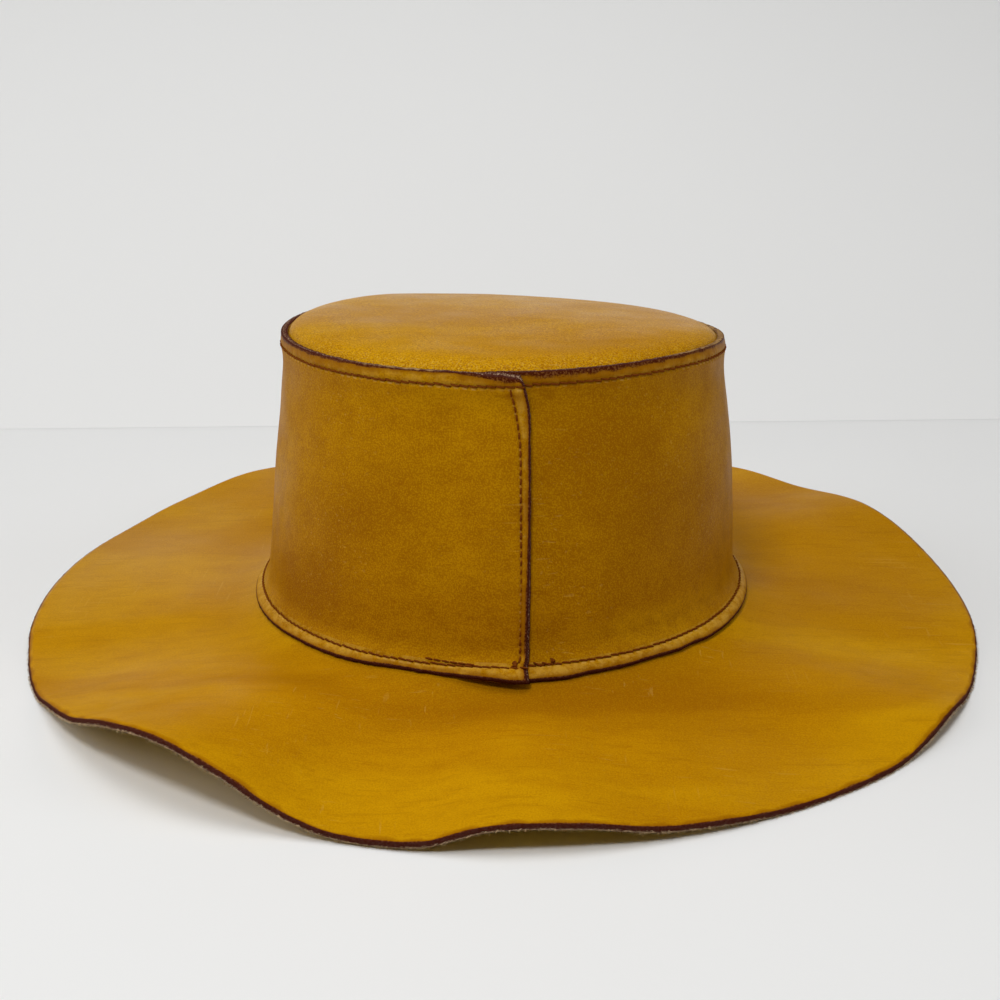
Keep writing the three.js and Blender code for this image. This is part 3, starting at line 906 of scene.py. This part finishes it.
def back_row(draw):
    """Back-stitching over the first stitches on both sides of the seam, and the knots at its foot."""
    stitches = []
    for number, hole in enumerate(LEFT_BACK_STITCHES):
        lift = BOTTOM_STITCH + 0.10 + 0.045 * number
        start = (BOTTOM_HOLES[-2 - hole] + 0.006, lift + 0.07, BACK_STITCH_DEPTH)
        stitches.append((start, (BOTTOM_HOLES[-1 - hole] + 0.006, lift - 0.01, BACK_STITCH_DEPTH)))
    for hole in RIGHT_BACK_STITCHES:
        wobble = draw.normal(0.12, 0.07)
        middle = BOTTOM_STITCH + 0.05
        start = (BOTTOM_HOLES[hole] - 0.012, middle + wobble, OVER_STITCH_DEPTH)
        stitches.append((start, (BOTTOM_HOLES[hole + 1] - 0.012, middle - wobble, OVER_STITCH_DEPTH)))
    # Knots: turn, level, size
    knots = (
        (FULL_TURN - 0.050, BOTTOM_STITCH + 0.35, 2.3),
        (BOTTOM_HOLES[3] - 0.004, BOTTOM_STITCH + 0.25, 1.3),
    )
    for turn, level, size in knots:
        for _ in range(KNOT_THREADS):
            way = draw.uniform(0, FULL_TURN)
            half = 0.5 * size * draw.uniform(0.7, 1.1)
            turn_part = half * math.cos(way) / MM_IN_A_RADIAN
            level_part = half * math.sin(way) / MM_IN_A_LEVEL
            mid_turn = turn + draw.normal(0, 0.002)
            mid_level = level + draw.normal(0, 0.06)
            start = (mid_turn - turn_part, mid_level - level_part, KNOT_DEPTH)
            stitches.append((start, (mid_turn + turn_part, mid_level + level_part, KNOT_DEPTH)))
    return stitches


def make_thread(material):
    draw = np.random.default_rng(31)
    bottom = stitch_row(BOTTOM_HOLES, BOTTOM_STITCH, BOTTOM_SLANT, draw)
    top = stitch_row(TOP_HOLES, TOP_STITCH, TOP_SLANT, draw)
    thread_meshes("bottom_stitches", bottom, material)
    thread_meshes("top_stitches", top, material)
    thread_meshes("seam_stitches", seam_row(draw), material)
    thread_meshes("back_stitches", back_row(draw), material, height=BACK_STITCH_PROUD)
    # The other side of both rings, on the inner faces of the margin and the skirt
    inner = np.array(bottom + top)
    inner[..., 2] = MARGIN_DEPTH
    thread_meshes("inner_stitches", inner, material, inside=True)


def make_fibres(upper, under, material):
    """Loose fibres that stand out from the lower half of the brim's raw edge."""
    draw = np.random.default_rng(41)
    count = FIBRE_COUNT
    at = draw.uniform(0, BRIM_COLUMNS, count)
    low = np.floor(at).astype(int) % BRIM_COLUMNS
    high = (low + 1) % BRIM_COLUMNS
    share = (at - np.floor(at))[:, None]
    root_share = draw.uniform(0.55, 1.0, count)[:, None]

    def along(grid, row):
        return grid[row][low] * (1 - share) + grid[row][high] * share

    top, bottom = along(upper, -1), along(under, -1)
    out = unit(bottom - along(under, -4))
    downward = unit(bottom - top)
    around_edge = unit(under[-1][high] - under[-1][low])
    root = top + (bottom - top) * root_share + out * BRIM_BULGE
    way = unit(out * draw.uniform(0.3, 1.0, (count, 1)) + downward * draw.uniform(0.0, 0.9, (count, 1))
               + around_edge * draw.normal(0, 0.8, (count, 1)))
    tip = root + way * draw.uniform(*FIBRE_LENGTHS, (count, 1))
    tip[:, 2] = np.maximum(tip[:, 2], FIBRE_CLEAR - 0.01)
    root[:, 2] = np.maximum(root[:, 2], FIBRE_CLEAR)
    bend = root + (tip - root) * 0.5 + draw.normal(0, FIBRE_BEND, (count, 3))
    bend[:, 2] = np.maximum(bend[:, 2], FIBRE_CLEAR)
    side = unit(np.cross(way, draw.normal(size=(count, 3))))
    other = unit(np.cross(way, side))
    skin = Skin()
    rings = []
    for place, radius in zip((root, bend, tip), FIBRE_RADII):
        ring = []
        for corner in range(FIBRE_SIDES):
            turn = FULL_TURN * corner / FIBRE_SIDES
            ring.append(skin.add_points(place + (side * math.cos(turn) + other * math.sin(turn)) * radius))
        rings.append(ring)
    for near, far in zip(rings[:-1], rings[1:]):
        for corner in range(FIBRE_SIDES):
            following = (corner + 1) % FIBRE_SIDES
            skin.add_faces([near[corner], near[following], far[following], far[corner]], 0)
    skin.add_faces(rings[0][::-1], 0)
    skin.add_faces(rings[-1], 0)
    return skin.build("edge_fibres", [material])


# Materials

YELLOW = (0.550, 0.268, 0.0016, 1)
MUSTARD = (0.465, 0.205, 0.0013, 1)
BROWN = (0.305, 0.108, 0.0010, 1)
LIGHT_YELLOW = (0.640, 0.350, 0.0040, 1)
# Colour of the light scratches, and of the painted highlight on the crests of the top's crinkled grain
LIGHT_SCRATCH_AND_HIGHLIGHT = (0.72, 0.46, 0.10, 1)
# Painted highlight on the puckers beside the stitches
PUCKER_HIGHLIGHT = (0.72, 0.42, 0.11, 1)
# Pale colour of the strips beside the rows: painted sheen at the foot, rubbed wear at the seam
WORN_AND_SHEEN = (0.64, 0.37, 0.05, 1)
WAX_TINT = (1.0, 0.62, 0.18, 1)
DYE = (0.075, 0.011, 0.0025, 1)
WORN_DYE = (0.210, 0.078, 0.020, 1)
DARK_EDGE = (0.100, 0.032, 0.022, 1)
PALE_EDGE = (0.58, 0.40, 0.25, 1)
TAN_EDGE = (0.30, 0.16, 0.05, 1)
LIGHT_TAN_EDGE = (0.52, 0.33, 0.14, 1)
SUEDE = (0.60, 0.37, 0.03, 1)
SUEDE_DARK = (0.44, 0.25, 0.02, 1)
SUEDE_PALE = (0.68, 0.46, 0.08, 1)
NAP_TINT = (0.85, 0.65, 0.4, 1)
THREAD_DARK = (0.115, 0.023, 0.0014, 1)
THREAD_LIGHT = (0.245, 0.066, 0.0026, 1)
FIBRE_DARK = (0.22, 0.11, 0.05, 1)
FIBRE_PALE = (0.84, 0.62, 0.36, 1)
FLOOR_COLOUR = (0.86, 0.86, 0.85, 1)
BOARD_COLOUR = (0.82, 0.82, 0.81, 1)

# How many times a millimetre each pattern of the leather repeats
CLOUD_SCALE = 0.020
SELDOM_SCALE = 0.025
SCARCE_SCALE = 0.05
GLOSS_SCALE = 0.06
DENT_SCALE = 0.09
PATCHY_SCALE = 0.12
MOTTLE_SCALE = 0.16
WEAR_AND_SHEEN_SCALE = 0.30
PORE_SCALE = 0.62
DYE_SCALE = 1.5
CREEP_SCALE = 1.6
GRAIN_SCALE = 1.7
STIPPLE_SCALE = 1.9
FINE_GRAIN_SCALE = 3.2

# The clouds and the mottle are drawn out sideways.
CLOUD_STRETCH = (0.45, 1.0, 1.0)

# Straight marks: stretch, turn, scale, and the crests of the noise that show
DARK_MARKS = (
    ((0.07, 1.0, 1.0), (0.1, 0.05, 0.12), 0.62, 0.60, 0.72),
)
LIGHT_MARKS = (
    ((0.05, 1.0, 1.0), (0.3, 0.4, 0.75), 0.75, 0.66, 0.76),
    ((1.0, 0.05, 1.0), (-0.4, 0.2, -0.35), 0.80, 0.67, 0.77),
)

# Painted highlight on the puckers at a row of stitches: how far from the middle of a stitch it fades in, and
# how far below the row it lies. The rings show it under the middle of each stitch, and the seam between two
# stitches.
PUCKER_HIGHLIGHT_AT = {"bottom": (0.36, 0.14, 0.80), "top": (0.36, 0.14, 0.80), "seam": (0.30, 0.44, 0.20)}

# Paler strips: a painted sheen on the foot's turned-out edge, and rubbed wear on the one between the seam's
# stitches and the lap's end: where across the row they fade in, how much
WORN_AND_SHEEN_STRIPS = {"bottom": (-0.5, -1.1, 0.28), "seam": (0.4, 1.2, 0.40)}


class Nodes:
    """The nodes of a new material, with short ways to add to them."""

    def __init__(self, name):
        self.material = bpy.data.materials.new(name)
        self.material.use_nodes = True
        self.tree = self.material.node_tree
        self.tree.nodes.clear()

    def add(self, kind, inputs=None, **settings):
        made = self.tree.nodes.new(kind)
        for key, value in settings.items():
            setattr(made, key, value)
        for key, value in (inputs or {}).items():
            socket = made.inputs[key]
            if isinstance(value, bpy.types.NodeSocket):
                self.tree.links.new(value, socket)
            else:
                socket.default_value = value
        return made

    def math(self, operation, *values):
        return self.add("ShaderNodeMath", dict(enumerate(values)), operation=operation).outputs[0]

    def plus(self, first, second):
        return self.math("ADD", first, second)

    def times(self, first, second):
        return self.math("MULTIPLY", first, second)

    def size_of(self, value):
        return self.math("ABSOLUTE", value)

    def ranged(self, value, low, high, to_low=0.0, to_high=1.0):
        inputs = {0: value, 1: low, 2: high, 3: to_low, 4: to_high}
        return self.add("ShaderNodeMapRange", inputs, interpolation_type="SMOOTHSTEP").outputs[0]

    def mixed(self, share, first, second):
        return self.add("ShaderNodeMix", {0: share, 6: first, 7: second}, data_type="RGBA").outputs[2]

    def layered(self, first, second, pattern, low, high, most=1.0):
        """The first colour, with the second where the pattern passes from low to high."""
        return self.mixed(self.ranged(pattern, low, high, 0.0, most), first, second)

    def tinted(self, first, second, pattern, amount):
        return self.mixed(self.times(pattern, amount), first, second)

    def attribute(self, name):
        return self.add("ShaderNodeAttribute", attribute_name=name).outputs["Fac"]

    def place(self, stretch=(1, 1, 1), turn=(0, 0, 0), shift=(0, 0, 0)):
        """Places on the object in millimetres."""
        source = self.add("ShaderNodeTexCoord").outputs["Object"]
        scale = tuple(part / MM for part in stretch)
        inputs = {"Vector": source, "Location": shift, "Rotation": turn, "Scale": scale}
        return self.add("ShaderNodeMapping", inputs).outputs[0]

    def noise(self, place, scale, detail=2.0, roughness=0.5, distortion=0.0):
        inputs = {
            "Vector": place, "Scale": scale, "Detail": detail, "Roughness": roughness,
            "Distortion": distortion,
        }
        return self.add("ShaderNodeTexNoise", inputs).outputs["Fac"]

    def cells(self, place, scale, feature="F1"):
        made = self.add("ShaderNodeTexVoronoi", {"Vector": place, "Scale": scale}, feature=feature)
        return made.outputs["Distance"]

    def bumped(self, height, distance, normal=None):
        inputs = {"Height": height, "Distance": distance * MM, "Strength": 1.0}
        if normal is not None:
            inputs["Normal"] = normal
        return self.add("ShaderNodeBump", inputs).outputs[0]

    def principled(self, colour, roughness, specular, others):
        inputs = {"Base Color": colour, "Roughness": roughness, "Specular IOR Level": specular, **others}
        return self.add("ShaderNodeBsdfPrincipled", inputs)

    def finished(self, shader):
        output = self.tree.nodes.new("ShaderNodeOutputMaterial")
        self.tree.links.new(shader.outputs[0], output.inputs["Surface"])
        return self.material


def marks(nodes, shift, table):
    """Straight marks: the crests of noises that are each drawn out along one way."""
    total = None
    for stretch, turn, scale, low, high in table:
        crests = nodes.ranged(nodes.noise(nodes.place(stretch, turn, shift), scale, 1.0), low, high)
        total = crests if total is None else nodes.math("MAXIMUM", total, crests)
    return total


def sewn_colour(nodes, colour, place, row):
    """A row of stitches darkens its leather, has painted highlights on its puckers and may have a paler
    strip beside it: painted sheen at the foot, wear at the seam.
    """
    along = nodes.attribute(row + "_along")
    across = nodes.attribute(row + "_across")
    fade_low, fade_high, below_row = PUCKER_HIGHLIGHT_AT[row]
    from_middle = nodes.size_of(nodes.math("SUBTRACT", nodes.math("FRACT", along), 0.5))
    below = nodes.size_of(nodes.plus(across, below_row))
    # Painted highlight on the puckers, patchy
    pale = nodes.times(nodes.ranged(from_middle, fade_low, fade_high), nodes.ranged(below, 0.45, 0.10))
    patchy = nodes.ranged(nodes.noise(place, PATCHY_SCALE), 0.42, 0.62, 0.1, 0.55)
    colour = nodes.tinted(colour, PUCKER_HIGHLIGHT, pale, patchy)
    colour = nodes.tinted(colour, BROWN, nodes.ranged(nodes.size_of(across), 0.75, 0.25), 0.5)
    # A paler strip beside the row: painted sheen on the foot's turned-out edge, rubbed wear beside the seam
    if row in WORN_AND_SHEEN_STRIPS:
        low, high, most = WORN_AND_SHEEN_STRIPS[row]
        wear_and_sheen = nodes.ranged(nodes.noise(place, WEAR_AND_SHEEN_SCALE, 5.0, 0.65), 0.36, 0.64, 0.0, most)
        colour = nodes.tinted(colour, WORN_AND_SHEEN, nodes.ranged(across, low, high), wear_and_sheen)
    return colour


def leather(name, shift, tone, roughness, shine, wax, wax_roughness, stipple, mottle,
            sewn=(), crinkled=False):
    """Waxed leather: clouded colour, fine grain, pores, scratches and dark dye along its edges."""
    nodes = Nodes(name)
    place = nodes.place(shift=shift)
    drawn = nodes.place(CLOUD_STRETCH, shift=shift)

    cloud = nodes.ranged(nodes.noise(drawn, CLOUD_SCALE, 3.0, 0.5, 0.4), 0.34, 0.68)
    cloud = nodes.plus(nodes.math("MULTIPLY_ADD", cloud, 0.7, tone), nodes.attribute("cloud"))
    colour = nodes.layered(YELLOW, MUSTARD, cloud, 0.0, 0.55)
    colour = nodes.layered(colour, BROWN, cloud, 0.5, 1.5, 0.85)
    colour = nodes.layered(colour, BROWN, nodes.noise(drawn, MOTTLE_SCALE, 5.0, 0.62), 0.38, 0.66, mottle)
    dots = nodes.noise(place, STIPPLE_SCALE, 2.0, 0.6)
    colour = nodes.layered(colour, LIGHT_YELLOW, dots, 0.46, 0.64, 0.26 * stipple)
    colour = nodes.layered(colour, BROWN, dots, 0.54, 0.36, 0.30 * stipple)

    scarce = nodes.ranged(nodes.noise(place, SCARCE_SCALE), 0.5, 0.62)
    pores = nodes.times(nodes.ranged(nodes.cells(place, PORE_SCALE), 0.16, 0.06), scarce)
    colour = nodes.tinted(colour, BROWN, pores, 0.45)
    colour = nodes.tinted(colour, BROWN, marks(nodes, shift, DARK_MARKS), 0.22)
    seldom = nodes.ranged(nodes.noise(place, SELDOM_SCALE), 0.46, 0.64)
    scratches = nodes.times(marks(nodes, shift, LIGHT_MARKS), seldom)
    colour = nodes.tinted(colour, LIGHT_SCRATCH_AND_HIGHLIGHT, scratches, 0.16)

    # From broad dents to the finest grain: height in millimetres
    grain = nodes.cells(place, GRAIN_SCALE, "SMOOTH_F1")
    normal = None
    for height, distance in (
        (nodes.noise(place, DENT_SCALE), 0.10),
        (grain, 0.055),
        (dots, 0.05),
        (nodes.noise(place, FINE_GRAIN_SCALE), 0.035),
        (pores, -0.06),
        (scratches, -0.05),
    ):
        normal = nodes.bumped(height, distance, normal)
    if crinkled:
        amount = nodes.attribute("crinkle")
        normal = nodes.bumped(nodes.times(grain, amount), 0.24, normal)
        # Painted highlight on the crests of the crinkled grain
        crests = nodes.times(nodes.ranged(grain, 0.40, 0.75), amount)
        colour = nodes.tinted(colour, LIGHT_SCRATCH_AND_HIGHLIGHT, crests, 0.30)
    for row in sewn:
        colour = sewn_colour(nodes, colour, place, row)

    # The dye ends in an uneven line with a brown fringe.
    creep = nodes.math("MULTIPLY_ADD", nodes.noise(place, CREEP_SCALE, 3.0), 1.1, -0.55)
    edge = nodes.plus(nodes.attribute("dye"), creep)
    colour = nodes.layered(colour, BROWN, edge, 5.0, 0.8, 0.8)
    dye = nodes.layered(DYE, WORN_DYE, nodes.noise(place, DYE_SCALE, 3.0, 0.6), 0.46, 0.62)
    colour = nodes.layered(colour, dye, edge, 1.25, 0.45)

    gloss = nodes.noise(place, GLOSS_SCALE, 3.0)
    roughness = nodes.ranged(gloss, 0.3, 0.7, roughness - 0.06, roughness + 0.08)
    shader = nodes.principled(colour, roughness, shine, {
        "Normal": normal,
        "IOR": 1.4,
        "Specular Tint": WAX_TINT,
        "Coat Weight": nodes.times(nodes.attribute("wax"), wax) if wax else 0.0,
        "Coat Roughness": wax_roughness,
        "Coat IOR": 1.45,
    })
    return nodes.finished(shader)


def raw_edge(name, bump, left_tan=False):
    """The cut edge: dyed dark, or left tan in places, and rough, with paler fibres at its core."""
    nodes = Nodes(name)
    place = nodes.place()
    fibres = nodes.noise(place, GRAIN_SCALE, 4.0, 0.75)
    colour = nodes.layered(DARK_EDGE, DYE, fibres, 0.35, 0.65)
    core = nodes.math("MULTIPLY_ADD", nodes.attribute("core"), 0.27, -0.14)
    colour = nodes.layered(colour, PALE_EDGE, nodes.plus(fibres, core), 0.55, 0.68, 0.9)
    if left_tan:
        tan = nodes.mixed(fibres, TAN_EDGE, LIGHT_TAN_EDGE)
        wander = nodes.math("MULTIPLY_ADD", nodes.noise(place, 0.5, 3.0), 0.9, -0.45)
        colour = nodes.layered(colour, tan, nodes.plus(nodes.attribute("tan"), wander), 0.35, 0.6)
    return nodes.finished(nodes.principled(colour, 0.9, 0.04, {"Normal": nodes.bumped(fibres, bump)}))


def suede(name):
    """The flesh side: matt, napped and a little uneven."""
    nodes = Nodes(name)
    place = nodes.place()
    nap = nodes.noise(place, STIPPLE_SCALE, 4.0, 0.7)
    colour = nodes.layered(SUEDE, SUEDE_DARK, nodes.noise(place, 0.03, 4.0, 0.6), 0.3, 0.7)
    colour = nodes.layered(colour, SUEDE_PALE, nap, 0.3, 0.75, 0.5)
    return nodes.finished(nodes.principled(colour, 0.92, 0.05, {
        "Normal": nodes.bumped(nap, 0.28),
        "Sheen Weight": 0.12,
        "Sheen Roughness": 0.5,
        "Sheen Tint": NAP_TINT,
    }))


def thread(name):
    nodes = Nodes(name)
    place = nodes.place()
    colour = nodes.mixed(nodes.noise(place, 3.0), THREAD_DARK, THREAD_LIGHT)
    normal = nodes.bumped(nodes.noise(place, 6.0), 0.06)
    return nodes.finished(nodes.principled(colour, 0.7, 0.06, {"Normal": normal}))


def fibre(name):
    nodes = Nodes(name)
    colour = nodes.layered(FIBRE_DARK, FIBRE_PALE, nodes.noise(nodes.place(), 0.8), 0.35, 0.65)
    return nodes.finished(nodes.principled(colour, 0.8, 0.2, {}))


def painted(name, colour, see_through_back=False):
    """Matt pale paint. A board can be left out where it is seen from behind."""
    nodes = Nodes(name)
    darker = tuple(0.985 * part for part in colour[:3]) + (1,)
    colour = nodes.mixed(nodes.noise(nodes.place(), 0.004, 3.0), colour, darker)
    shader = nodes.principled(colour, 0.6, 0.25, {})
    if see_through_back:
        back = nodes.add("ShaderNodeNewGeometry").outputs["Backfacing"]
        clear = nodes.add("ShaderNodeBsdfTransparent")
        shader = nodes.add("ShaderNodeMixShader", {0: back, 1: shader.outputs[0], 2: clear.outputs[0]})
    return nodes.finished(shader)


# Floor, backdrop, light and camera

FLOOR_REACH = 3.0
BOARD_FOOT = (302.0, 0.4)
BOARD_TOP = (625.0, 237.0)
BOARD_HALF_WIDTH = 450.0

# Lights: name, place, aim, size, power
LIGHTS = (
    ("key", (-0.258, -0.779, 1.20), (0.0, 0.0, 0.0), 0.30, 7.4),
    ("overhead", (0.0, 0.05, 1.20), (0.0, 0.0, 0.05), 0.9, 6.8),
    ("left", (-1.3, -0.3, 0.8), (0.0, 0.0, 0.08), 0.9, 5.3),
    ("right", (1.3, -0.3, 0.8), (0.0, 0.0, 0.08), 0.9, 4.2),
    ("left_back", (-1.1, 0.6, 0.8), (0.0, 0.0, 0.08), 0.8, 1.9),
)
ROOM_COLOUR = (0.93, 0.96, 1.0, 1)
ROOM_STRENGTH = 0.01


def stage_mesh(name, corners, material):
    mesh = bpy.data.meshes.new(name)
    mesh.from_pydata(corners, [], [(0, 1, 2, 3)])
    mesh.materials.append(material)
    piece = bpy.data.objects.new(name, mesh)
    bpy.context.scene.collection.objects.link(piece)


def make_stage():
    reach = FLOOR_REACH
    corners = [(-reach, -reach, 0), (reach, -reach, 0), (reach, reach, 0), (-reach, reach, 0)]
    stage_mesh("floor", corners, painted("pale_floor", FLOOR_COLOUR))
    half = BOARD_HALF_WIDTH
    corners = []
    for x, (y, z) in ((-half, BOARD_FOOT), (half, BOARD_FOOT), (half, BOARD_TOP), (-half, BOARD_TOP)):
        corners.append((x * MM, y * MM, z * MM))
    stage_mesh("backdrop", corners, painted("pale_board", BOARD_COLOUR, see_through_back=True))


def make_light():
    for name, at, aim, size, power in LIGHTS:
        data = bpy.data.lights.new(name, "AREA")
        data.shape = "SQUARE"
        data.size = size
        data.energy = power
        light = bpy.data.objects.new(name, data)
        light.location = at
        light.rotation_euler = (Vector(aim) - Vector(at)).to_track_quat("-Z", "Y").to_euler()
        bpy.context.scene.collection.objects.link(light)
    world = bpy.data.worlds.new("room")
    world.use_nodes = True
    background = world.node_tree.nodes["Background"]
    background.inputs["Color"].default_value = ROOM_COLOUR
    background.inputs["Strength"].default_value = ROOM_STRENGTH
    bpy.context.scene.world = world


def make_camera():
    data = bpy.data.cameras.new("camera")
    data.lens = CAMERA_LENS
    data.sensor_width = SENSOR
    data.clip_start = 0.01
    data.clip_end = 20.0
    camera = bpy.data.objects.new("camera", data)
    turn = Matrix.Rotation(math.pi / 2 - CAMERA_PITCH, 4, "X") @ Matrix.Rotation(CAMERA_ROLL, 4, "Z")
    camera.matrix_world = Matrix.Translation(Vector(CAMERA_AT) * MM) @ turn
    bpy.context.scene.collection.objects.link(camera)
    bpy.context.scene.camera = camera
    bpy.context.scene.view_settings.view_transform = "Standard"


make_camera()
make_stage()
make_light()

raw = raw_edge("raw_edge", bump=0.8)
rim = raw_edge("rim_edge", bump=0.7, left_tan=True)
flesh = suede("flesh_side")
wall_grain = leather("crown_grain", shift=(0, 0, 0), tone=0.15, roughness=0.42, shine=0.05, wax=0.0,
                     wax_roughness=0.30, stipple=1.35, mottle=0.46, sewn=("bottom", "top", "seam"))
top_grain = leather("top_grain", shift=(130, 40, 0), tone=0.02, roughness=0.36, shine=0.03, wax=0.20,
                    wax_roughness=0.18, stipple=2.7, mottle=0.16, crinkled=True)
brim_grain = leather("brim_grain", shift=(310, 220, 0), tone=0.04, roughness=0.42, shine=0.015, wax=0.40,
                     wax_roughness=0.30, stipple=0.8, mottle=0.18)

make_wall([wall_grain, rim, flesh])
brim_upper, brim_under = make_brim([brim_grain, raw, flesh])
make_top([top_grain, raw, flesh])
make_thread(thread("dark_thread"))
make_fibres(brim_upper, brim_under, fibre("edge_fibre"))
